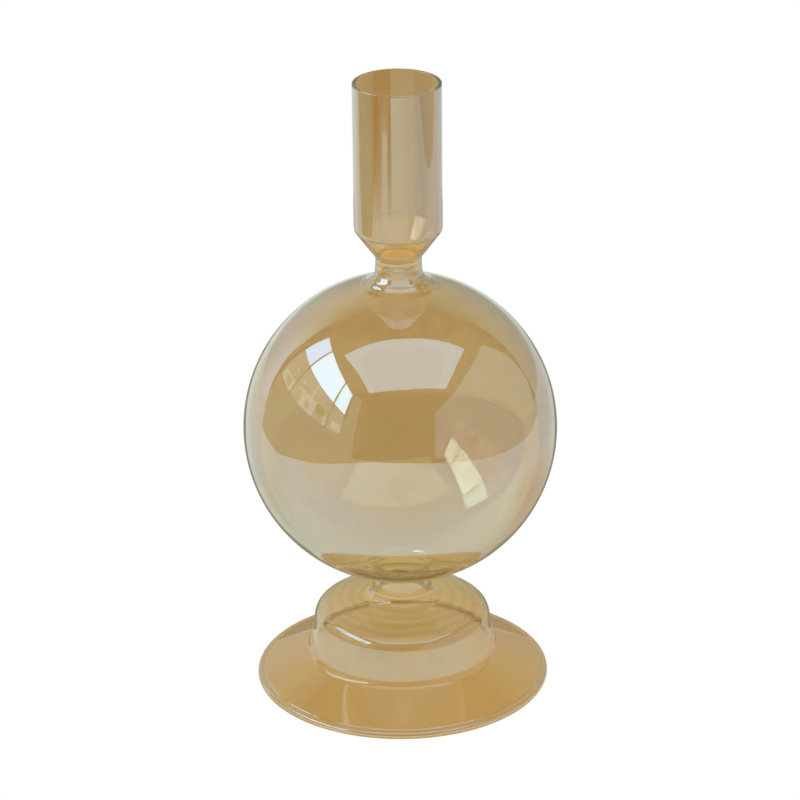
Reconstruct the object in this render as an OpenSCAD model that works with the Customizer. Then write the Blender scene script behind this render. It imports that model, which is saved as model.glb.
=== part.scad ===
// Glass candlestick: a candle cup, a neck, a hollow ball, a stem and a domed foot with a wide flange.
// Every piece is a thin wall of revolution about Z. The origin is the middle of the base, on the table.
// Neighbouring pieces meet face to face at their seals.

/* [Candle cup] */
// Outer diameter of the candle cup
cup_d = 26.1; // [24:0.1:28]
// Thickness of the cup's wall
cup_wall = 1.15; // [0.8:0.05:1.8]
// Height of the cup's straight wall, from the lip down to the knee
cup_h = 44; // [30:0.1:60]
// Radius of the knee between the straight wall and the cone
knee_r = 3; // [2:0.1:4]
// Height of the cone, from the knee down to the narrowest part of the neck
cone_h = 10.6; // [9:0.1:16]
// Thickness of the cup's floor
cup_floor = 1.4; // [1:0.1:3]

/* [Neck] */
// Diameter of the neck where it is narrowest
neck_d = 13.56; // [12:0.02:15]
// Diameter of the neck at its seal with the bulb
neck_seal_d = 14.1; // [13.8:0.1:15.2]
// Radius of the hollow curve between the cone and the neck
neck_curve_r = 3; // [2:0.1:4]
// Height of the neck, from the bulb's seal up to the narrowest part
neck_h = 4.1; // [3:0.1:8]

/* [Bulb] */
// Outer diameter of the bulb
bulb_d = 94.2; // [90:0.2:98]
// Height of the bulb's centre above the table
bulb_z = 82.55; // [81:0.05:90]
// Thickness of the bulb's wall
bulb_wall = 1.4; // [1:0.1:2]
// Radius of the hollow curve between the bulb and the neck
collar_r = 12; // [10:0.5:14]
// Angle from the bulb's top at which that curve leaves the ball
collar_tilt = 16.6; // [16:0.1:18]

/* [Stem] */
// Diameter of the stem where it is narrowest
stem_d = 18; // [15:0.2:20]
// Radius of the hollow curve between the bulb and the stem
stem_curve_r = 2.6; // [2:0.1:3.4]

/* [Foot] */
// Diameter of the foot over its rim
foot_d = 89.4; // [84:0.2:100]
// Thickness of the drum's and the flange's wall
foot_wall = 1.4; // [1:0.1:1.6]
// Radius of the rolled rim
rim_r = 1.15; // [1.1:0.05:1.4]
// Diameter of the drum at its shoulder
drum_d = 53.8; // [51:0.2:56]
// Height of the centre of the drum's rounded shoulder
shoulder_z = 19.2; // [18:0.1:20.5]
// Radius of the drum's rounded shoulder
shoulder_r = 4.8; // [4:0.1:5.4]
// Radius of the drum's domed top
dome_r = 46; // [42:0.5:48]
// Diameter of the drum at its base
drum_base_d = 56.3; // [54.5:0.1:58]
// Height of the centre of the hollow curve between the drum and the flange
flange_curve_z = 11.45; // [10.5:0.05:12]
// Radius of the hollow curve between the drum and the flange
flange_curve_r = 3.2; // [2.6:0.1:3.6]

/* [Hidden] */
$fn = 120;
amber = [0.82, 0.66, 0.40, 0.55];
// A curve made of short straight steps strays from its true arc by no more than this
arc_error = 0.005;

// Candle cup and neck, from the seal with the bulb upwards
lip_r = cup_wall / 2;
collar_centre = [0, bulb_z] + (bulb_d / 2 + collar_r) * [sin(collar_tilt), cos(collar_tilt)];
neck_z = collar_centre.y - sqrt(pow(collar_r, 2) - pow(collar_centre.x - neck_seal_d / 2, 2));
neck_bore_r = collar_centre.x - sqrt(pow(collar_r + bulb_wall, 2) - pow(collar_centre.y - neck_z, 2));
neck_curve = [neck_d / 2 + neck_curve_r, neck_z + neck_h];
// The cup's floor is sealed to the neck this far above the neck's narrowest part
seal_rise = 0.7;
seal_angle = asin(seal_rise / neck_curve_r);
cup_z = neck_curve.y + seal_rise;
knee = [cup_d / 2 - knee_r, neck_curve.y + cone_h];
cone_tilt = tangent_angle(knee, neck_curve, knee_r + neck_curve_r);
lip = [cup_d / 2 - lip_r, knee.y + cup_h - lip_r];
floor_z = cup_z + cup_floor;
floor_curve_r = 2;
floor_curve_z = floor_z + floor_curve_r;
// The floor's curve touches the inside of the cone
floor_curve = [(unit(cone_tilt) * knee + knee_r - cup_wall - floor_curve_r
                - floor_curve_z * sin(cone_tilt)) / cos(cone_tilt), floor_curve_z];

// Stem, between the bulb's underside and the drum's dome
seal_tilt = 30;
stem_top = [stem_d / 2 + stem_curve_r,
            bulb_z - sqrt(pow(bulb_d / 2 + stem_curve_r, 2) - pow(stem_d / 2 + stem_curve_r, 2))];
bulb_tilt = asin(stem_top.x / (bulb_d / 2 + stem_curve_r));

// Foot, from the dome's edge down to the rim
dome_edge_tilt = 20;
dome_top_tilt = 5;
shoulder = [drum_d / 2 - shoulder_r, shoulder_z];
dome_centre = shoulder + (shoulder_r - dome_r) * unit(90 - dome_edge_tilt);
dome_top = dome_centre + dome_r * unit(90 - dome_top_tilt);
stem_flare_r = (dome_top.x - stem_d / 2) / (1 - sin(dome_top_tilt));
stem_foot = dome_top + stem_flare_r * unit(90 - dome_top_tilt);
// The rolled rim is flattened by this much where it stands on the table
rim_flat = 0.15;
rim = [foot_d / 2 - rim_r, rim_r - rim_flat];
flange_curve = [drum_base_d / 2 + flange_curve_r, flange_curve_z];
// The flange's upper face runs this far above the middle of the rolled rim
flange_rise = 0.8;
// The rim's seam with the flange stands this far back from the middle of the rolled rim
rim_reach = 1.6;
wall_tilt = tangent_angle(shoulder, flange_curve, shoulder_r + flange_curve_r);
flange_tilt = tangent_angle(flange_curve, rim, -flange_curve_r - flange_rise);

function unit(a) = [cos(a), sin(a)];

// Direction of the normal to the straight wall that runs between two rounded corners with centres a and b,
// when the corners' centres lie a distance d apart along that normal
function tangent_angle(a, b, d) = atan2(b.y - a.y, b.x - a.x) + acos(d / norm(b - a));

// Points along an arc, close enough together to stay within arc_error of it
function arc(centre, r, from, to) =
    let (steps = max(1, ceil(abs(to - from) / (2 * acos(1 - arc_error / r)))))
    [for (i = [0:steps]) centre + r * unit(from + (to - from) * i / steps)];

// A wall's outline is a list of arcs, each [centre, radius, from, to, side], joined by straight lines.
// side is 1 where the wall bulges outwards and -1 where it is hollow, and inset moves the line inwards.
function outline(arcs, inset) =
    [for (a = arcs) each arc(a[0], a[1] - a[4] * inset, a[2], a[3])];

function reverse(list) = [for (i = [len(list) - 1:-1:0]) list[i]];

// A wall of even thickness, turned about Z
module turned_wall(arcs, thickness) {
    rotate_extrude() polygon(concat(outline(arcs, 0), reverse(outline(arcs, thickness))));
}

// Straight tube with a fire-polished lip, a cone and a closed, rounded bottom
module candle_cup() {
    outside = concat(
        [[0, cup_z]],
        arc(neck_curve, neck_curve_r, 180 - seal_angle, 180 + cone_tilt),
        arc(knee, knee_r, cone_tilt, 0));
    inside = concat(
        arc(knee, knee_r - cup_wall, 0, cone_tilt),
        arc(floor_curve, floor_curve_r, cone_tilt, -90),
        [[0, floor_z]]);
    color(amber) rotate_extrude() polygon(concat(outside, arc(lip, lip_r, 0, 180), inside));
}

// Waisted tube that joins the cup's floor to the bulb's collar
module neck() {
    outside = concat(
        [[neck_seal_d / 2, neck_z]],
        arc(neck_curve, neck_curve_r, 180, 180 - seal_angle));
    color(amber) rotate_extrude()
        polygon(concat(outside, [[neck_bore_r, cup_z], [neck_bore_r, neck_z]]));
}

// Hollow ball with a collar above and the start of the stem below
module bulb() {
    // Both faces of the collar end at the height of the neck's seal
    rise = collar_centre.y - neck_z;
    inner_collar_r = collar_r + bulb_wall;
    sphere_from = bulb_tilt - 90;
    sphere_to = 90 - collar_tilt;
    outside = concat(
        arc(stem_top, stem_curve_r, 180 - seal_tilt, 90 + bulb_tilt),
        arc([0, bulb_z], bulb_d / 2, sphere_from, sphere_to),
        arc(collar_centre, collar_r, 270 - collar_tilt, 180 + asin(rise / collar_r)));
    inside = concat(
        arc(collar_centre, inner_collar_r, 180 + asin(rise / inner_collar_r), 270 - collar_tilt),
        arc([0, bulb_z], bulb_d / 2 - bulb_wall, sphere_to, sphere_from),
        arc(stem_top, stem_curve_r + bulb_wall, 90 + bulb_tilt, 180 - seal_tilt));
    color(amber) rotate_extrude() polygon(concat(outside, inside));
}

// Short tube that flares a little at both ends
module stem() {
    color(amber) turned_wall([
        [stem_top, stem_curve_r, 180 - seal_tilt, 180, -1],
        [stem_foot, stem_flare_r, 180, 180 + seal_tilt, -1]], foot_wall);
}

// Domed, hollow drum with a rounded shoulder
module foot_drum() {
    color(amber) turned_wall([
        [stem_foot, stem_flare_r, 180 + seal_tilt, 270 - dome_top_tilt, -1],
        [dome_centre, dome_r, 90 - dome_top_tilt, 90 - dome_edge_tilt, 1],
        [shoulder, shoulder_r, 90 - dome_edge_tilt, wall_tilt, 1],
        [flange_curve, flange_curve_r, 180 + wall_tilt, 180 + wall_tilt, -1]], foot_wall);
}

// End of the flange at its seam with the rim, on the line that passes the rim's middle at this height
function flange_end(rise) = rim + rise * unit(flange_tilt) + rim_reach * unit(flange_tilt + 90);

// Skirt that turns out from the drum and runs down to the rim
module foot_flange() {
    color(amber) rotate_extrude() polygon(concat(
        arc(flange_curve, flange_curve_r, 180 + wall_tilt, 180 + flange_tilt),
        [flange_end(flange_rise), flange_end(flange_rise - foot_wall)],
        arc(flange_curve, flange_curve_r + foot_wall, 180 + flange_tilt, 180 + wall_tilt)));
}

// Rolled edge of the flange, with the flat ring that the candlestick stands on
module foot_rim() {
    flat_angle = asin(rim.y / rim_r);
    above = flange_tilt + acos(flange_rise / rim_r);
    below = flange_tilt + acos((flange_rise - foot_wall) / rim_r);
    color(amber) rotate_extrude() polygon(concat(
        [flange_end(flange_rise)],
        arc(rim, rim_r, above, -flat_angle),
        arc(rim, rim_r, flat_angle - 180, below - 360),
        [flange_end(flange_rise - foot_wall)]));
}

candle_cup();
neck();
bulb();
stem();
foot_drum();
foot_flange();
foot_rim();
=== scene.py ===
import math

import bpy
import numpy as np
from mathutils import Matrix, Vector


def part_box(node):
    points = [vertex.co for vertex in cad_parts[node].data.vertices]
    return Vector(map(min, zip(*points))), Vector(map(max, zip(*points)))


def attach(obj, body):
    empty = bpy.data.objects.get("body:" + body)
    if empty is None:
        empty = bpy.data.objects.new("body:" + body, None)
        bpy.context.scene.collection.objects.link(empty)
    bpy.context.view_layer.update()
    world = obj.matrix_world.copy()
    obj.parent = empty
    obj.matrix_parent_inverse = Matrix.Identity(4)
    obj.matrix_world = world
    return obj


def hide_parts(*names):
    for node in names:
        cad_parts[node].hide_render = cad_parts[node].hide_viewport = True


# An amber glass candlestick: a candle cup, a neck, a hollow ball, a stem and a domed foot with a wide
# flange. Each piece is a wall of revolution about Z. Sizes are in metres, in the frame of the CAD model.

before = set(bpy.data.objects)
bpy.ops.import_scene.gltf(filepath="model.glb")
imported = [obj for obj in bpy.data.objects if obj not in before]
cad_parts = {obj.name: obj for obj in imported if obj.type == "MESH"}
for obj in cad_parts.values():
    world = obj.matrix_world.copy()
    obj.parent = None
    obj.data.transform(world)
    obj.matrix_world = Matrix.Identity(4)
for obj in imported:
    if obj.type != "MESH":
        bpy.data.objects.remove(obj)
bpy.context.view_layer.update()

MM = 0.001

# Candle cup and neck
CUP_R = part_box("candle_cup")[1].x
CUP_TOP_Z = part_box("candle_cup")[1].z
CUP_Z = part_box("candle_cup")[0].z
CUP_WALL = 1.15 * MM
CUP_FLOOR = 1.4 * MM
KNEE_R = 3 * MM
CONE_H = 10.6 * MM
FLOOR_CURVE_R = 2 * MM
NECK_R = 6.78 * MM
NECK_SEAL_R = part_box("neck")[1].x
NECK_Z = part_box("neck")[0].z
NECK_CURVE_R = 3 * MM
SEAL_RISE = 0.7 * MM

# Ball
BALL_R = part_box("bulb")[1].x
BALL_Z = 82.55 * MM
WALL = 1.4 * MM
COLLAR_R = 12 * MM
COLLAR_TILT = 16.6

# Stem
STEM_R = 9 * MM
STEM_CURVE_R = 2.6 * MM
SEAL_TILT = 30

# Foot
FOOT_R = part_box("foot_rim")[1].x
RIM_R = 1.15 * MM
RIM_FLAT = 0.15 * MM
RIM_REACH = 1.6 * MM
FLANGE_RISE = 0.8 * MM
DRUM_R = 26.9 * MM
SHOULDER_Z = 19.2 * MM
SHOULDER_R = 4.8 * MM
DOME_R = 46 * MM
DOME_EDGE_TILT = 20
DOME_TOP_TILT = 5
DRUM_BASE_R = 28.15 * MM
FLANGE_CURVE_Z = 11.45 * MM
FLANGE_CURVE_R = 3.2 * MM

# Heights of the shallow ripples and waves that working the glass by hand has left
NECK_RIPPLE = 0.03 * MM
COLLAR_RIPPLE = 0.06 * MM
DOME_RIPPLE = 0.004 * MM
RIM_GROOVE = 0.06 * MM
WAVE_HEIGHT = 0.02 * MM

# How many ripples there are along each of them, from end to end
NECK_RIPPLES = 1.5
COLLAR_RIPPLES = 3.5
DOME_RIPPLES = 3.5
RIM_GROOVES = 0.5

# Fineness of the waves, of the cloudiness of the amber and of the rings in it
WAVE_SCALE = 60.0
CLOUD_SCALE = 38.0
RING_SCALE = 90.0
# The amber is paler or deeper by up to this share of its colour
UNEVENNESS = 0.035

# Sides of the turned meshes, and the angle between points on an arc, in degrees
SIDES = 288
ARC_STEP = 1.25
DOME_STEP = 0.25
# Steps in the neck's side and in the rim's upper face, which are straight apart from the ripples
NECK_STEPS = 24
RIM_STEPS = 16

# Numbers of a piece's materials: its outer face, its seams and its inner face
OUTER, SEAM, INNER = 0, 1, 2


def unit(degrees):
    """The direction at this angle in the (radius, height) plane."""
    a = math.radians(degrees)
    return np.array([math.cos(a), math.sin(a)])


def tangent_angle(a, b, distance):
    """Direction of the normal to the straight wall between two rounded corners with centres a and b."""
    d = b - a
    return math.degrees(math.atan2(d[1], d[0]) + math.acos(distance / np.linalg.norm(d)))


def arc(centre, radius, start, end, side, step=ARC_STEP):
    """Points on an arc, each with its normal, which points away from the centre where side is 1."""
    steps = max(2, math.ceil(abs(end - start) / step))
    angles = np.linspace(start, end, steps + 1)
    return [(centre + radius * unit(a), side * unit(a)) for a in angles]


def flat(start, end, normal):
    """A straight line with one normal."""
    n = np.array(normal, float)
    return [(np.array(start, float), n), (np.array(end, float), n)]


def line(start, end, normal, steps):
    """A straight line in short steps."""
    a, b = np.array(start, float), np.array(end, float)
    n = np.array(normal, float) / np.linalg.norm(normal)
    return [(a + (b - a) * t, n) for t in np.linspace(0, 1, steps + 1)]


def rippled(run, height, waves):
    """The same run with shallow ripples along it, as hand-worked glass has. They die out at its ends."""
    points = np.array([p for p, n in run])
    normals = np.array([n for p, n in run])
    steps = np.linalg.norm(np.diff(points, axis=0), axis=1)
    t = np.concatenate([[0], np.cumsum(steps)]) / steps.sum()
    rise = height * np.sin(2 * math.pi * waves * t) * np.sin(math.pi * t)
    slope = np.gradient(rise, t * steps.sum())
    along = np.gradient(points, t * steps.sum(), axis=0)
    along /= np.linalg.norm(along, axis=1)[:, None]
    turned_normals = normals - slope[:, None] * along
    turned_normals /= np.linalg.norm(turned_normals, axis=1)[:, None]
    return list(zip(points + rise[:, None] * normals, turned_normals))


def faces_of(arcs, thickness):
    """Outer and inner face of a wall of even thickness. Each arc is (centre, radius, start, end, side),
    and its side is 1 where the wall bulges outwards and -1 where it is hollow."""
    outer = [p for c, r, a, b, s in arcs for p in arc(c, r, a, b, s)]
    inner = [p for c, r, a, b, s in arcs for p in arc(c, r - s * thickness, a, b, -s)]
    return outer, inner[::-1]


def joined(first, second):
    """The seam face from the end of one run to the start of the next, seen from outside the glass."""
    a, b = first[-1][0], second[0][0]
    along = (b - a) / np.linalg.norm(b - a)
    return flat(a, b, (along[1], -along[0]))


def turned(name, runs):
    """A closed mesh turned about Z from runs of (point, normal), each with its material's number."""
    rings, index_of = [], {}

    def ring(point):
        """Number of the ring through this point. Points within a tenth of a micrometre share one."""
        key = (round(point[0] * 1e7), round(point[1] * 1e7))
        if key not in index_of:
            index_of[key] = len(rings)
            rings.append(point)
        return index_of[key]

    strips = []
    for run, material in runs:
        for (p, n), (q, m) in zip(run, run[1:]):
            i, j = ring(p), ring(q)
            if i != j:
                strips.append((i, j, p, q, n, m, material))
    turns = np.linspace(0, 2 * math.pi, SIDES, endpoint=False)
    cos, sin = np.cos(turns), np.sin(turns)
    vertices, first = [], []
    for r, z in rings:
        first.append(len(vertices))
        if r < 1e-7:
            vertices.append((0, 0, z))
        else:
            vertices += [(r * c, r * s, z) for c, s in zip(cos, sin)]
    faces, normals, materials = [], [], []
    for i, j, p, q, n, m, material in strips:
        along = q - p
        outward = n + m
        turned_over = along[1] * outward[0] - along[0] * outward[1] < 0
        for k in range(SIDES):
            nxt = (k + 1) % SIDES
            corners = []
            if p[0] < 1e-7:
                corners.append((first[i], n, k))
            else:
                corners += [(first[i] + k, n, k), (first[i] + nxt, n, nxt)]
            if q[0] < 1e-7:
                corners.append((first[j], m, k))
            else:
                corners += [(first[j] + nxt, m, nxt), (first[j] + k, m, k)]
            if turned_over:
                corners.reverse()
            faces.append([c[0] for c in corners])
            normals += [(c[1][0] * cos[c[2]], c[1][0] * sin[c[2]], c[1][1]) for c in corners]
            materials.append(material)
    mesh = bpy.data.meshes.new(name)
    mesh.from_pydata(vertices, [], faces)
    mesh.polygons.foreach_set("use_smooth", [True] * len(faces))
    mesh.polygons.foreach_set("material_index", materials)
    mesh.normals_split_custom_set(normals)
    mesh.update()
    piece = bpy.data.objects.new(name, mesh)
    bpy.context.scene.collection.objects.link(piece)
    return piece


def tube(name, outside, inside):
    """A turned wall with a seam face at each end."""
    first_seam, second_seam = joined(outside, inside), joined(inside, outside)
    return turned(name, [(outside, OUTER), (first_seam, SEAM), (inside, INNER), (second_seam, SEAM)])


# Corners' centres in the (radius, height) plane, and the angles and radii that go with them, worked out
# from the sizes above
LIP_R = CUP_WALL / 2
COLLAR = np.array([0, BALL_Z]) + (BALL_R + COLLAR_R) * unit(90 - COLLAR_TILT)
COLLAR_IN_R = COLLAR_R + WALL
NECK_BORE_R = COLLAR[0] - math.sqrt(COLLAR_IN_R**2 - (COLLAR[1] - NECK_Z) ** 2)
NECK_CURVE = np.array([NECK_R + NECK_CURVE_R, CUP_Z - SEAL_RISE])
SEAL_ANGLE = math.degrees(math.asin(SEAL_RISE / NECK_CURVE_R))
KNEE = np.array([CUP_R - KNEE_R, NECK_CURVE[1] + CONE_H])
CONE_TILT = tangent_angle(KNEE, NECK_CURVE, KNEE_R + NECK_CURVE_R) % 360 - 360
LIP = np.array([CUP_R - LIP_R, CUP_TOP_Z - LIP_R])
FLOOR_Z = CUP_Z + CUP_FLOOR
FLOOR_CURVE_Z = FLOOR_Z + FLOOR_CURVE_R
CONE_OFFSET = unit(CONE_TILT) @ KNEE + KNEE_R - CUP_WALL - FLOOR_CURVE_R
FLOOR_CURVE_X = (CONE_OFFSET - FLOOR_CURVE_Z * unit(CONE_TILT)[1]) / unit(CONE_TILT)[0]
FLOOR_CURVE = np.array([FLOOR_CURVE_X, FLOOR_CURVE_Z])
STEM_REACH = BALL_R + STEM_CURVE_R
STEM_TOP_X = STEM_R + STEM_CURVE_R
STEM_TOP = np.array([STEM_TOP_X, BALL_Z - math.sqrt(STEM_REACH**2 - STEM_TOP_X**2)])
BALL_TILT = math.degrees(math.asin(STEM_TOP_X / STEM_REACH))
SHOULDER = np.array([DRUM_R - SHOULDER_R, SHOULDER_Z])
DOME = SHOULDER + (SHOULDER_R - DOME_R) * unit(90 - DOME_EDGE_TILT)
DOME_TOP = DOME + DOME_R * unit(90 - DOME_TOP_TILT)
STEM_FLARE_R = (DOME_TOP[0] - STEM_R) / (1 - unit(DOME_TOP_TILT)[1])
STEM_FOOT = DOME_TOP + STEM_FLARE_R * unit(90 - DOME_TOP_TILT)
RIM = np.array([FOOT_R - RIM_R, RIM_R - RIM_FLAT])
FLANGE_CURVE = np.array([DRUM_BASE_R + FLANGE_CURVE_R, FLANGE_CURVE_Z])
WALL_TILT = tangent_angle(SHOULDER, FLANGE_CURVE, SHOULDER_R + FLANGE_CURVE_R)
FLANGE_TILT = tangent_angle(FLANGE_CURVE, RIM, -FLANGE_CURVE_R - FLANGE_RISE)


def candle_cup():
    """Straight tube with a fire-polished lip, a cone and a closed, rounded bottom."""
    under = flat((0, CUP_Z), (NECK_BORE_R, CUP_Z), (0, -1))
    outside = (
        arc(NECK_CURVE, NECK_CURVE_R, 180 - SEAL_ANGLE, 180 + CONE_TILT, -1)
        + arc(KNEE, KNEE_R, CONE_TILT, 0, 1)
        + arc(LIP, LIP_R, 0, 90, 1)
    )
    inside = (
        arc(LIP, LIP_R, 90, 180, 1)
        + arc(KNEE, KNEE_R - CUP_WALL, 0, CONE_TILT, -1)
        + arc(FLOOR_CURVE, FLOOR_CURVE_R, CONE_TILT, -90, -1)
        + [(np.array([0, FLOOR_Z]), np.array([0.0, 1.0]))]
    )
    runs = [(under, INNER), (joined(under, outside), SEAM), (outside, OUTER), (inside, INNER)]
    return turned("glass_cup", runs)


def neck():
    """Waisted tube that joins the cup's floor to the ball's collar."""
    lean = 0.066
    side = line((NECK_SEAL_R, NECK_Z), (NECK_R, NECK_CURVE[1]), (1, lean), NECK_STEPS)
    curve = arc(NECK_CURVE, NECK_CURVE_R, 180, 180 - SEAL_ANGLE, -1)
    outside = rippled(side, NECK_RIPPLE, NECK_RIPPLES) + curve
    inside = flat((NECK_BORE_R, CUP_Z), (NECK_BORE_R, NECK_Z), (-1, 0))
    return tube("glass_neck", outside, inside)


def ball():
    """Hollow ball with a collar above and the start of the stem below."""
    rise = COLLAR[1] - NECK_Z
    collar_end = 180 + math.degrees(math.asin(rise / COLLAR_R))
    bore_end = 180 + math.degrees(math.asin(rise / COLLAR_IN_R))
    low, high = BALL_TILT - 90, 90 - COLLAR_TILT
    collar = arc(COLLAR, COLLAR_R, 270 - COLLAR_TILT, collar_end, -1)
    outside = (
        arc(STEM_TOP, STEM_CURVE_R, 180 - SEAL_TILT, 90 + BALL_TILT, -1)
        + arc(np.array([0, BALL_Z]), BALL_R, low, high, 1)
        + rippled(collar, COLLAR_RIPPLE, COLLAR_RIPPLES)
    )
    inside = (
        arc(COLLAR, COLLAR_IN_R, bore_end, 270 - COLLAR_TILT, 1)
        + arc(np.array([0, BALL_Z]), BALL_R - WALL, high, low, -1)
        + arc(STEM_TOP, STEM_CURVE_R + WALL, 90 + BALL_TILT, 180 - SEAL_TILT, 1)
    )
    return tube("glass_ball", outside, inside)


def stem():
    """Short tube that flares a little at both ends."""
    top = (STEM_TOP, STEM_CURVE_R, 180 - SEAL_TILT, 180, -1)
    flare = (STEM_FOOT, STEM_FLARE_R, 180, 180 + SEAL_TILT, -1)
    outside, inside = faces_of([top, flare], WALL)
    return tube("glass_stem", outside[::-1], inside[::-1])


def foot_drum():
    """Domed, hollow drum with a rounded shoulder."""
    flare = (STEM_FOOT, STEM_FLARE_R, 180 + SEAL_TILT, 270 - DOME_TOP_TILT, -1)
    dome = (DOME, DOME_R, 90 - DOME_TOP_TILT, 90 - DOME_EDGE_TILT, 1)
    shoulder = (SHOULDER, SHOULDER_R, 90 - DOME_EDGE_TILT, WALL_TILT, 1)
    below = (FLANGE_CURVE, FLANGE_CURVE_R, 180 + WALL_TILT, 180 + WALL_TILT, -1)
    inside = faces_of([flare, dome, shoulder, below], WALL)[1]
    c, r, start, end, side = dome
    ripples = rippled(arc(c, r, start, end, side, DOME_STEP), DOME_RIPPLE, DOME_RIPPLES)
    outside = arc(*flare) + ripples + arc(*shoulder) + arc(*below)
    return tube("glass_foot_drum", outside[::-1], inside[::-1])


def flange_end(rise):
    """End of the flange at its seam with the rim, at this height over the rim's middle."""
    return RIM + rise * unit(FLANGE_TILT) + RIM_REACH * unit(FLANGE_TILT + 90)


def foot_flange():
    """Skirt that turns out from the drum and runs down to the rim."""
    up = unit(FLANGE_TILT)
    low, high = 180 + FLANGE_TILT, 180 + WALL_TILT
    outside = [(flange_end(FLANGE_RISE), up)] + arc(FLANGE_CURVE, FLANGE_CURVE_R, low, high, -1)
    inside = arc(FLANGE_CURVE, FLANGE_CURVE_R + WALL, high, low, 1)
    inside.append((flange_end(FLANGE_RISE - WALL), -up))
    return tube("glass_foot_flange", outside, inside)


def foot_rim():
    """Rolled edge of the flange, with the flat ring that the candlestick stands on."""
    up = unit(FLANGE_TILT)
    flat_angle = math.degrees(math.asin(RIM[1] / RIM_R))
    above = FLANGE_TILT + math.degrees(math.acos(FLANGE_RISE / RIM_R))
    below = FLANGE_TILT + math.degrees(math.acos((FLANGE_RISE - WALL) / RIM_R))
    lower = [(flange_end(FLANGE_RISE - WALL), -up), (RIM + RIM_R * unit(below), -up)]
    under = arc(RIM, RIM_R, below - 360, flat_angle - 180, 1)
    standing = flat(under[-1][0], RIM + RIM_R * unit(-flat_angle), (0, -1))
    outer = arc(RIM, RIM_R, -flat_angle, above, 1)
    upper = line(outer[-1][0], flange_end(FLANGE_RISE), up, RIM_STEPS)
    upper = rippled(upper, -RIM_GROOVE, RIM_GROOVES)
    runs = [(lower, INNER), (under, INNER), (standing, INNER), (outer, OUTER), (upper, OUTER)]
    runs.append((joined(upper, lower), SEAM))
    return turned("glass_foot_rim", runs)


def add(nodes, kind, **sockets):
    """A shader node with these values on its own sockets."""
    node = nodes.new(kind)
    for key, value in sockets.items():
        node.inputs[key.replace("_", " ")].default_value = value
    return node


def math_node(nodes, links, operation, *values):
    """A sum on numbers or on other nodes' outputs."""
    node = nodes.new("ShaderNodeMath")
    node.operation = operation
    for socket, value in zip(node.inputs, values):
        if isinstance(value, (int, float)):
            socket.default_value = value
        else:
            links.new(value, socket)
    return node.outputs[0]


def multiplied(nodes, links, first, second):
    """Two colours multiplied. Each is a tuple or another node's output."""
    product = nodes.new("ShaderNodeVectorMath")
    product.operation = "MULTIPLY"
    for socket, value in zip(product.inputs, (first, second)):
        if isinstance(value, tuple):
            socket.default_value = value
        else:
            links.new(value, socket)
    return product.outputs[0]


def new_material(name):
    """A material without nodes, its nodes and its links."""
    material = bpy.data.materials.new(name)
    material.use_nodes = True
    material.node_tree.nodes.clear()
    return material, material.node_tree.nodes, material.node_tree.links


def faded(nodes, links, axis, start, end, low, high):
    """A colour that goes smoothly from low to high between two places along an axis, or between two
    distances from the middle where the axis is R. Either colour can be another fade."""
    where = nodes.new("ShaderNodeTexCoord").outputs["Object"]
    if axis == "R":
        place = nodes.new("ShaderNodeVectorMath")
        place.operation = "LENGTH"
        along = place.outputs["Value"]
    else:
        place = nodes.new("ShaderNodeSeparateXYZ")
        along = place.outputs["XYZ".index(axis)]
    links.new(where, place.inputs[0])
    rise = nodes.new("ShaderNodeMapRange")
    rise.interpolation_type = "SMOOTHSTEP"
    rise.inputs["From Min"].default_value = start
    rise.inputs["From Max"].default_value = end
    links.new(along, rise.inputs["Value"])
    mix = nodes.new("ShaderNodeMix")
    mix.data_type = "VECTOR"
    links.new(rise.outputs[0], mix.inputs["Factor"])
    sockets = [i for i in mix.inputs if i.type == "VECTOR" and i.enabled]
    for socket, value in zip(sockets[-2:], (low, high)):
        if isinstance(value[0], str):
            links.new(faded(nodes, links, *value), socket)
        else:
            socket.default_value = value
    return [o for o in mix.outputs if o.type == "VECTOR" and o.enabled][0]


def uneven_amber(nodes, links, place, tint, ring_depth):
    """This amber, a little cloudy, with rings round Z where ring_depth isn't 0."""
    clouds = add(nodes, "ShaderNodeTexNoise", Scale=CLOUD_SCALE, Detail=2.0)
    links.new(place, clouds.inputs["Vector"])
    rings = add(nodes, "ShaderNodeTexWave", Scale=RING_SCALE, Distortion=3.0, Detail=1.0)
    rings.wave_type = "RINGS"
    rings.rings_direction = "Z"
    links.new(place, rings.inputs["Vector"])
    around_zero = math_node(nodes, links, "SUBTRACT", rings.outputs["Fac"], 0.5)
    uneven = math_node(nodes, links, "MULTIPLY", around_zero, ring_depth)
    uneven = math_node(nodes, links, "ADD", uneven, clouds.outputs[0])
    shade = nodes.new("ShaderNodeMix")
    shade.data_type = "RGBA"
    shade.clamp_factor = False
    links.new(uneven, shade.inputs["Factor"])
    deeper, paler = [i for i in shade.inputs if i.type == "RGBA"]
    deeper.default_value = (*[t * (1 - UNEVENNESS) for t in tint], 1)
    paler.default_value = (*[min(1.0, t * (1 + UNEVENNESS)) for t in tint], 1)
    return [o for o in shade.outputs if o.type == "RGBA"][0]


def wavy_normal(nodes, links, place):
    """The very slight waves of a face of worked glass."""
    waves = add(nodes, "ShaderNodeTexNoise", Scale=WAVE_SCALE, Detail=1.0)
    links.new(place, waves.inputs["Vector"])
    bump = add(nodes, "ShaderNodeBump", Strength=1.0, Distance=WAVE_HEIGHT)
    links.new(waves.outputs[0], bump.inputs["Height"])
    return bump.outputs[0]


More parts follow.
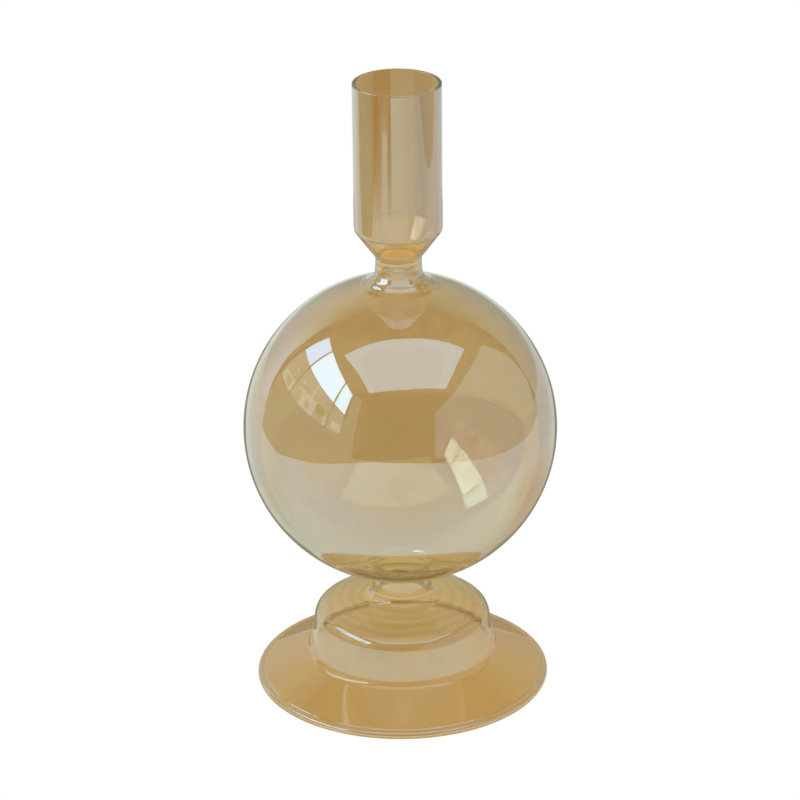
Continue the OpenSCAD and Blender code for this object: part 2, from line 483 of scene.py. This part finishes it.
def glass_surface(
    name, tint, coat_thickness=0.0, coat_ior=1.33, ring_depth=0.0, fade=None, coat_fade=None
):
    """One face of a clear glass wall. The lustre coat is a thin film, its thickness in nanometres.
    A fade makes the amber paler or deeper in places, and a coat_fade makes the coat thinner."""
    material, nodes, links = new_material(name)
    out = nodes.new("ShaderNodeOutputMaterial")
    glass = add(
        nodes,
        "ShaderNodeBsdfPrincipled",
        Roughness=0.0,
        IOR=1.5,
        Transmission_Weight=1.0,
        Thin_Film_Thickness=coat_thickness,
        Thin_Film_IOR=coat_ior,
    )
    place = nodes.new("ShaderNodeTexCoord").outputs["Object"]
    amber = uneven_amber(nodes, links, place, tint, ring_depth)
    if fade:
        amber = multiplied(nodes, links, amber, faded(nodes, links, *fade))
    links.new(amber, glass.inputs["Base Color"])
    if coat_fade:
        share = faded(nodes, links, *coat_fade)
        thickness = math_node(nodes, links, "MULTIPLY", share, coat_thickness)
        links.new(thickness, glass.inputs["Thin Film Thickness"])
    links.new(wavy_normal(nodes, links, place), glass.inputs["Normal"])
    links.new(glass.outputs["BSDF"], out.inputs["Surface"])
    return material


def fused_seam():
    """Where two pieces are sealed together, the glass runs on without a boundary."""
    material, nodes, links = new_material("fused_seam")
    out = nodes.new("ShaderNodeOutputMaterial")
    clear = add(nodes, "ShaderNodeBsdfTransparent", Color=(1, 1, 1, 1))
    links.new(clear.outputs["BSDF"], out.inputs["Surface"])
    return material


# The amber of each part's glass
BALL_AMBER = (0.745, 0.615, 0.378)
CUP_AMBER = (0.68, 0.555, 0.345)
NECK_AMBER = (0.80, 0.61, 0.31)
FOOT_AMBER = (0.77, 0.63, 0.34)
FLANGE_AMBER = (0.82, 0.63, 0.31)
# What the cup's painted reflection streaks do to the amber or to the coat: nothing, no coat, amber
# deeper or greyer
EVEN = (1.0, 1.0, 1.0)
BARE = (0.0, 0.0, 0.0)
PAINTED_DARK_REFLECTION = (0.91, 0.79, 0.60)
PAINTED_GREY_REFLECTION = (0.952, 0.956, 0.962)


def dark_reflection_streaks(deepest):
    """A broad streak and a thin one that run down from the cup's lip, where they join, and die out. They
    are painted reflections: in them the amber is deeper, or the coat is gone.
    """
    broad_start = (-8 * MM, -6.2 * MM)
    broad_end = (-5.4 * MM, -4.1 * MM)
    thin_start = (-3.1 * MM, -2.7 * MM)
    thin_end = (-2.1 * MM, -1.7 * MM)
    joined_above = (CUP_TOP_Z - 14 * MM, CUP_TOP_Z - 4 * MM)
    dies_out = (CUP_TOP_Z - 42 * MM, CUP_TOP_Z - 16 * MM)
    between = ("Z", *joined_above, EVEN, deepest)
    thin = ("X", *thin_start, between, ("X", *thin_end, deepest, EVEN))
    both = ("X", *broad_start, EVEN, ("X", *broad_end, deepest, thin))
    return ("Z", *dies_out, EVEN, both)


def grey_reflection_streak():
    """A painted reflection: a broad grey streak that runs the whole way down the cup."""
    start = (4.6 * MM, 5.4 * MM)
    end = (8.0 * MM, 9.0 * MM)
    return ("X", *start, EVEN, ("X", *end, PAINTED_GREY_REFLECTION, EVEN))


def cup_amber_fade():
    """The cup's cone is as pale as the neck, and its wall has painted reflections in streaks, the grey
    one on the right.
    """
    cone = [n / c for n, c in zip(NECK_AMBER, CUP_AMBER)]
    streaks = ("X", 2 * MM, 3 * MM, dark_reflection_streaks(PAINTED_DARK_REFLECTION), grey_reflection_streak())
    return ("Z", KNEE[1] - KNEE_R, KNEE[1], cone, streaks)


def glass_of(name, amber, coat_thickness, coat_ior, fade=None, **coat):
    """A piece's materials: its outer face with the lustre coat, its seams and its inner face."""
    outer = glass_surface(name + "_lustre", amber, coat_thickness, coat_ior, fade=fade, **coat)
    return [outer, seam_glass, glass_surface(name + "_inside", amber, fade=fade)]


# After each amber come the thickness of the lustre coat, in nanometres, and its index of refraction
seam_glass = fused_seam()
ball_glass = glass_of("ball", BALL_AMBER, 24.0, 2.6)
# The cup's amber and coat carry painted reflections in streaks
cup_glass = glass_of("cup", CUP_AMBER, 25.0, 2.3, fade=cup_amber_fade(), coat_fade=dark_reflection_streaks(BARE))
neck_glass = glass_of("neck", NECK_AMBER, 25.0, 2.3)
foot_glass = glass_of("foot", FOOT_AMBER, 24.0, 2.3, ring_depth=-2.4)
flange_glass = glass_of("flange", FLANGE_AMBER, 20.0, 2.3)
rim_glass = glass_of("rim", FLANGE_AMBER, 24.0, 2.6)
PIECES = [
    (candle_cup, "candle_cup", cup_glass),
    (neck, "neck", neck_glass),
    (ball, "bulb", ball_glass),
    (stem, "stem", foot_glass),
    (foot_drum, "foot_drum", foot_glass),
    (foot_flange, "foot_flange", flange_glass),
    (foot_rim, "foot_rim", rim_glass),
]
for make, node, glass in PIECES:
    piece = make()
    for material in glass:
        piece.data.materials.append(material)
    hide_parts(node)
    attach(piece, "root")


# The studio. What is seen directly or straight through the glass is white all round. What the glass
# reflects is a white sweep behind a white table, a soft panel overhead, a window on the left, walls on
# the left and on the right, and a dim room.
WHITE = (1.0, 1.0, 1.0)
# What one wall of glass makes of white
WALL_TINT = (0.61, 0.48, 0.29)
# How far the depth of many walls is evened out (0 leaves it as it is, 1 makes any number look alike),
# for the white behind the glass, for what it reflects and for the window's sky
EVENNESS = 0.9
REFLECTED_EVENNESS = 0.33
SKY_EVENNESS = 0.6
# Walls beyond this number aren't evened out
MOST_WALLS = 5.5
# The share of the white in a view that has been reflected inside a wall
WHITE_INSIDE_WALL = 0.6


def evened(nodes, links, color, walls_kept, evenness):
    """This colour, made lighter or deeper behind the glass, so that any number of walls in front of it
    looks nearly as deep as walls_kept of them."""
    depth = nodes.new("ShaderNodeLightPath").outputs["Transmission Depth"]
    walls = math_node(nodes, links, "MULTIPLY", depth, 0.5)
    walls = math_node(nodes, links, "MINIMUM", walls, MOST_WALLS)
    missing = math_node(nodes, links, "SUBTRACT", float(walls_kept), walls)
    some = math_node(nodes, links, "GREATER_THAN", depth, 0.5)
    power = math_node(nodes, links, "MULTIPLY", missing, some)
    power = math_node(nodes, links, "MULTIPLY", power, evenness)
    tint = nodes.new("ShaderNodeCombineXYZ")
    for socket, value in zip(tint.inputs, WALL_TINT):
        links.new(math_node(nodes, links, "POWER", value, power), socket)
    return multiplied(nodes, links, tint.outputs[0], color)


def light(nodes, links, kind, color, evenness=REFLECTED_EVENNESS):
    """A light of this colour that the glass reflects."""
    node = add(nodes, kind, Strength=1.0)
    links.new(evened(nodes, links, color, 0, evenness), node.inputs["Color"])
    return node


def white_behind(nodes, links, kind):
    """The white seen directly or straight through the glass."""
    node = add(nodes, kind, Strength=1.0)
    links.new(evened(nodes, links, WHITE, 2, EVENNESS), node.inputs["Color"])
    return node


def reflected_or_straight(nodes, links, reflected, straight):
    """Mixes two shaders: one where the view has been reflected on its way, the other where it hasn't.
    A view that has been reflected inside one wall of glass, or more than once, sees some of both."""
    path = nodes.new("ShaderNodeLightPath")
    mix = nodes.new("ShaderNodeMixShader")
    reflections = math_node(nodes, links, "GREATER_THAN", path.outputs["Glossy Depth"], 0.5)
    one_wall = math_node(nodes, links, "COMPARE", path.outputs["Transmission Depth"], 2.0, 0.5)
    twice = math_node(nodes, links, "GREATER_THAN", path.outputs["Glossy Depth"], 1.5)
    inside = math_node(nodes, links, "MAXIMUM", one_wall, twice)
    share = math_node(nodes, links, "MULTIPLY_ADD", inside, -WHITE_INSIDE_WALL, 1.0)
    links.new(math_node(nodes, links, "MULTIPLY", reflections, share), mix.inputs[0])
    links.new(straight.outputs[0], mix.inputs[1])
    links.new(reflected.outputs[0], mix.inputs[2])
    return mix


def lit_material(name, color, seen_straight=False, fades=(), evenness=REFLECTED_EVENNESS):
    """Light that only the glass's reflections show. Each fade is (axis, start, end, low, high)."""
    material, nodes, links = new_material(name)
    out = nodes.new("ShaderNodeOutputMaterial")
    for fade in fades:
        color = multiplied(nodes, links, faded(nodes, links, *fade), color)
    reflected = light(nodes, links, "ShaderNodeEmission", color, evenness)
    if seen_straight:
        straight = white_behind(nodes, links, "ShaderNodeEmission")
    else:
        straight = add(nodes, "ShaderNodeBsdfTransparent", Color=(1, 1, 1, 1))
    mix = reflected_or_straight(nodes, links, reflected, straight)
    links.new(mix.outputs[0], out.inputs["Surface"])
    return material


def sheet_of(name, corners, material):
    """A flat sheet of the studio."""
    mesh = bpy.data.meshes.new(name)
    mesh.from_pydata([tuple(c) for c in corners], [], [list(range(len(corners)))])
    mesh.materials.append(material)
    piece = bpy.data.objects.new(name, mesh)
    bpy.context.scene.collection.objects.link(piece)
    return piece


def oval(x, y, x_radius, y_radius, corners=12):
    """Corners of a flat round piece."""
    turns = [math.radians(360 / corners * k) for k in range(corners)]
    return [(x + x_radius * math.cos(a), y + y_radius * math.sin(a)) for a in turns]


def level_sheet(name, outline, z, material):
    """A sheet at this height."""
    sheet_of(name, [(x, y, z) for x, y in outline], material)


# Where the studio's surfaces stand, in metres from the middle of the base
SWEEP_Y = 1.2
PANEL_Z = 1.58
SIDE_X = 1.5
FLOOR_REACH = 9
# The sheets that lie on the table and on the floor are stacked this far apart, all of them below z = 0
LAYER = 0.0001
LEFT_WALL = (0.25, 0.30, 0.22)
RIGHT_WALL = (0.34, 0.42, 0.42)
RIGHT_DOOR = (0.18, 0.28, 0.35)


def floor_and_table():
    """A dark floor, paler on both sides, the white table on it, and two shades on the table."""
    floor_z, side_z, table_z, shade_z, foot_z = [-LAYER * k for k in (5, 4, 3, 2, 1)]
    far = FLOOR_REACH
    # Painted shade: behind the foot the table is dimmer and warmer close to it
    shade_near_foot = ("X", -0.05, 0.05, (0.96, 0.77, 0.68), (0.85, 0.52, 0.42))
    near_and_far = ("R", 0.1, 0.24, shade_near_foot, (1.08, 0.92, 0.87))
    dark = lit_material("studio_floor", (0.02, 0.018, 0.015), seen_straight=True)
    left = lit_material("studio_floor_left", LEFT_WALL, seen_straight=True)
    right = lit_material("studio_floor_right", RIGHT_DOOR, seen_straight=True)
    shade = lit_material("studio_shade", (0.24, 0.23, 0.20), seen_straight=True)
    white = lit_material(
        "studio_table",
        (0.65, 0.84, 0.74),
        seen_straight=True,
        fades=[
            ("X", -0.38, -0.12, (1.12, 1.05, 1.15), (1.0, 1.07, 1.2)),
            ("X", -0.12, 0.0, EVEN, (1.0, 0.95, 0.88)),
            ("X", 0.06, 0.3, EVEN, (0.74, 0.76, 0.95)),
            ("Y", -0.16, -0.06, EVEN, (1.02, 1.1, 1.22)),
            ("Y", -0.04, 0.04, EVEN, near_and_far),
        ],
    )
    level_sheet("floor", [(-far, -far), (far, -far), (far, far), (-far, far)], floor_z, dark)
    corners = [(-far, -2.2), (-0.3, -2.2), (-0.3, SWEEP_Y), (-far, SWEEP_Y)]
    level_sheet("floor_left", corners, side_z, left)
    corners = [(0.3, -1.0), (far, -3.0), (far, SWEEP_Y), (0.3, SWEEP_Y)]
    level_sheet("floor_right", corners, side_z, right)
    left_edge = [(-2.2, SWEEP_Y), (-0.44, 0.2), (-0.38, 0.1), (-0.34, 0.02), (-0.38, -0.11)]
    front_edge = [(-0.44, -0.36), (-0.57, -0.88), (-0.57, -1.92), (0.2, -1.92), (0.47, -1.08)]
    right_edge = [(0.53, -0.64), (0.50, -0.27), (0.48, -0.06), (0.49, 0.11), (0.65, 0.34)]
    right_edge.append((1.9, SWEEP_Y))
    level_sheet("table", left_edge + front_edge + right_edge, table_z, white)
    # Painted shadow: the foot's amber shadow on the table, deepest under its middle
    under_foot = ("R", 0.024, 0.032, (0.10, 0.02, 0.0), (0.42, 0.31, 0.17))
    amber = lit_material("studio_amber_shade", WHITE, seen_straight=True, fades=[under_foot])
    level_sheet("table_under_foot", oval(0, 0, 0.046, 0.046, corners=36), foot_z, amber)
    # Painted shade: a dim patch on the table just behind the foot
    shaded = [(-0.05, 0.03), (0.05, 0.03), (0.14, 0.2), (0.16, 0.42), (-0.16, 0.42), (-0.14, 0.2)]
    level_sheet("table_behind", shaded, shade_z, shade)


def sweep():
    """White paper behind the table."""
    paper = lit_material(
        "studio_sweep",
        WHITE,
        fades=[
            ("X", -1.7, -0.7, (0.95, 1.05, 1.05), (0.60, 0.65, 0.60)),
            ("X", -0.6, -0.1, EVEN, (0.65, 0.68, 0.55)),
            ("X", 0.0, 0.7, EVEN, (0.95, 0.95, 1.15)),
            ("Z", 0.5, 1.2, (1.0, 1.0, 1.08), (0.95, 0.95, 0.75)),
            ("Z", 0.8, 2.2, EVEN, (0.1, 0.1, 0.1)),
        ],
    )
    left_edge = [(-2.2, 0.0), (-1.9, 0.4), (-1.77, 0.7), (-1.73, 1.23), (-1.36, 1.68), (-1.14, 2.41)]
    right_edge = [(1.21, 2.1), (1.34, 1.43), (1.59, 1.04), (1.8, 0.61), (1.88, 0.3), (1.9, 0.0)]
    sheet_of("sweep", [(x, SWEEP_Y, z) for x, z in left_edge + right_edge], paper)


def panel():
    """A soft light overhead, with a brighter rim."""
    rim = lit_material("studio_panel_rim", (0.82, 1.08, 1.25))
    soft = lit_material("studio_panel", (0.72, 0.95, 1.12))
    outer = [(-1.03, -0.09), (0.13, -0.01), (1.23, 0.19), (1.16, -0.36), (1.15, -1.1), (0.08, -1.26)]
    outer += [(-0.77, -1.31), (-0.85, -0.69)]
    inner = [(-0.76, -0.3), (0.1, -0.13), (0.88, -0.16), (0.86, -1.06), (0.08, -1.24), (-0.6, -1.28)]
    level_sheet("panel_rim", outer, PANEL_Z, rim)
    level_sheet("panel", inner, PANEL_Z - 0.002, soft)


def window():
    """Three tall panes of sky over the house fronts across the street."""
    skies = [(1.7, 2.4, 2.95), (2.4, 3.15, 3.45), (2.5, 3.2, 3.4)]
    house = lit_material("studio_house", (0.58, 0.54, 0.42))
    pale = lit_material("studio_house_frames", (0.92, 0.96, 0.78))
    lamp = lit_material("studio_lamp", (0.95, 1.05, 0.95))
    tree = lit_material("studio_tree", (0.28, 0.24, 0.09))
    low, middle, high = 0.50, 1.09, 1.83

    def flat_piece(name, outline, material, nearer):
        """Pieces with a higher number are a little nearer than the ones they cover."""
        sheet_of(name, [(-SIDE_X + 0.001 * nearer, y, z) for y, z in outline], material)

    panes = [(0.78, 0.265), (0.215, -0.91), (-0.97, -1.47)]
    for number, (y0, y1) in enumerate(panes):
        sky = lit_material("studio_sky_%d" % number, skies[number], evenness=SKY_EVENNESS)
        flat_piece("sky_%d" % number, [(y0, middle), (y1, middle), (y1, high), (y0, high)], sky, 0)
        flat_piece("house_%d" % number, [(y0, low), (y1, low), (y1, middle), (y0, middle)], house, 0)
    flat_piece("reveal", [(0.945, 0.3), (0.93, 0.3), (0.92, 1.25), (0.935, 1.25)], pale, 0)
    flat_piece("bay_a", [(0.76, 0.64), (0.265, 0.68), (0.265, 0.5), (0.78, 0.5)], pale, 1)
    flat_piece("bay_a_window", [(0.6, 0.63), (0.36, 0.64), (0.34, 0.53), (0.53, 0.52)], house, 2)
    roof = [(0.12, 0.68), (-0.33, 0.74), (-0.34, 1.07), (-0.28, 1.07), (-0.29, 0.78), (0.13, 0.71)]
    flat_piece("roof_line", roof, pale, 1)
    flat_piece("bay_b", [(-0.05, 0.68), (-0.07, 0.5), (-0.51, 0.5), (-0.5, 0.81)], pale, 1)
    flat_piece("bay_b_window", [(-0.21, 0.67), (-0.21, 0.55), (-0.36, 0.55), (-0.36, 0.67)], house, 2)
    flat_piece("bay_c", [(-0.79, 0.67), (-0.91, 0.7), (-0.91, 0.51), (-0.83, 0.5)], pale, 1)
    flat_piece("bay_d", [(-1.08, 0.73), (-1.44, 0.75), (-1.44, 0.56), (-1.09, 0.53)], pale, 1)
    flat_piece("tree", oval(-0.65, 0.72, 0.13, 0.095), tree, 3)
    for number, y in enumerate((0.42, 0.06)):
        flat_piece("lamp_%d" % number, oval(y, 0.825, 0.035, 0.035), lamp, 3)


def walls():
    """The wall round the window, and on the right a wall with a darker door in it."""
    left = lit_material("studio_left_wall", LEFT_WALL)
    right = lit_material("studio_right_wall", RIGHT_WALL)
    door = lit_material("studio_right_door", RIGHT_DOOR)
    x = -SIDE_X - 0.01
    outline = [(0.86, 0.0), (0.84, 0.5), (0.8, 1.0), (-1.6, 1.0), (-1.6, 2.0), (-2.2, 2.2), (-2.2, 0.0)]
    sheet_of("left_wall", [(x, y, z) for y, z in outline], left)
    x = SIDE_X
    outline = [(0.64, 1.41), (0.86, 0.82), (0.92, 0.31), (0.76, 0.0), (-3.38, 0.0), (-3.16, 0.93)]
    outline += [(-2.68, 1.91), (-1.46, 1.63), (-0.42, 1.53)]
    sheet_of("right_wall", [(x, y, z) for y, z in outline], right)
    outline = [(-0.02, 0.32), (0.3, 0.0), (-3.38, 0.0), (-3.16, 0.93), (-2.68, 1.9), (-1.46, 1.6)]
    outline += [(-1.09, 1.41), (-0.47, 0.8)]
    sheet_of("right_door", [(x - 0.004, y, z) for y, z in outline], door)


def room():
    """The rest of the room, which is dim."""
    world = bpy.data.worlds.new("studio")
    bpy.context.scene.world = world
    world.use_nodes = True
    nodes, links = world.node_tree.nodes, world.node_tree.links
    nodes.clear()
    out = nodes.new("ShaderNodeOutputWorld")
    dim = light(nodes, links, "ShaderNodeBackground", (0.022, 0.018, 0.015))
    straight = white_behind(nodes, links, "ShaderNodeBackground")
    mix = reflected_or_straight(nodes, links, dim, straight)
    links.new(mix.outputs[0], out.inputs["Surface"])


floor_and_table()
sweep()
panel()
window()
walls()
room()

# The camera looks down at the middle of the candlestick, and leans a little to one side
CAMERA_TILT = 23.445
CAMERA_ROLL = 0.586
CAMERA_DISTANCE = 1.0204
CAMERA_TARGET = Vector((0, 0, 0.09117))
CAMERA_LENS = 153.27
CAMERA_SENSOR = 36


def make_camera():
    data = bpy.data.cameras.new("camera")
    data.sensor_width = CAMERA_SENSOR
    data.lens = CAMERA_LENS
    data.clip_start = 0.01
    data.clip_end = 50
    camera = bpy.data.objects.new("camera", data)
    bpy.context.scene.collection.objects.link(camera)
    tilt = math.radians(CAMERA_TILT)
    back = Vector((0, -math.cos(tilt), math.sin(tilt)))
    roll = Matrix.Rotation(math.radians(-CAMERA_ROLL), 3, "Z")
    turn = back.to_track_quat("Z", "Y").to_matrix() @ roll
    camera.matrix_world = Matrix.Translation(CAMERA_TARGET + CAMERA_DISTANCE * back) @ turn.to_4x4()
    bpy.context.scene.camera = camera


make_camera()

scene = bpy.context.scene
scene.view_settings.view_transform = "Standard"
scene.view_settings.look = "None"
scene.cycles.use_adaptive_sampling = False
scene.cycles.use_denoising = True
# Light crosses many faces of the thin glass and is reflected many times between them
scene.cycles.max_bounces = 160
scene.cycles.glossy_bounces = 120
scene.cycles.transmission_bounces = 80
scene.cycles.transparent_max_bounces = 48
scene.cycles.sample_clamp_indirect = 0
scene.cycles.blur_glossy = 0
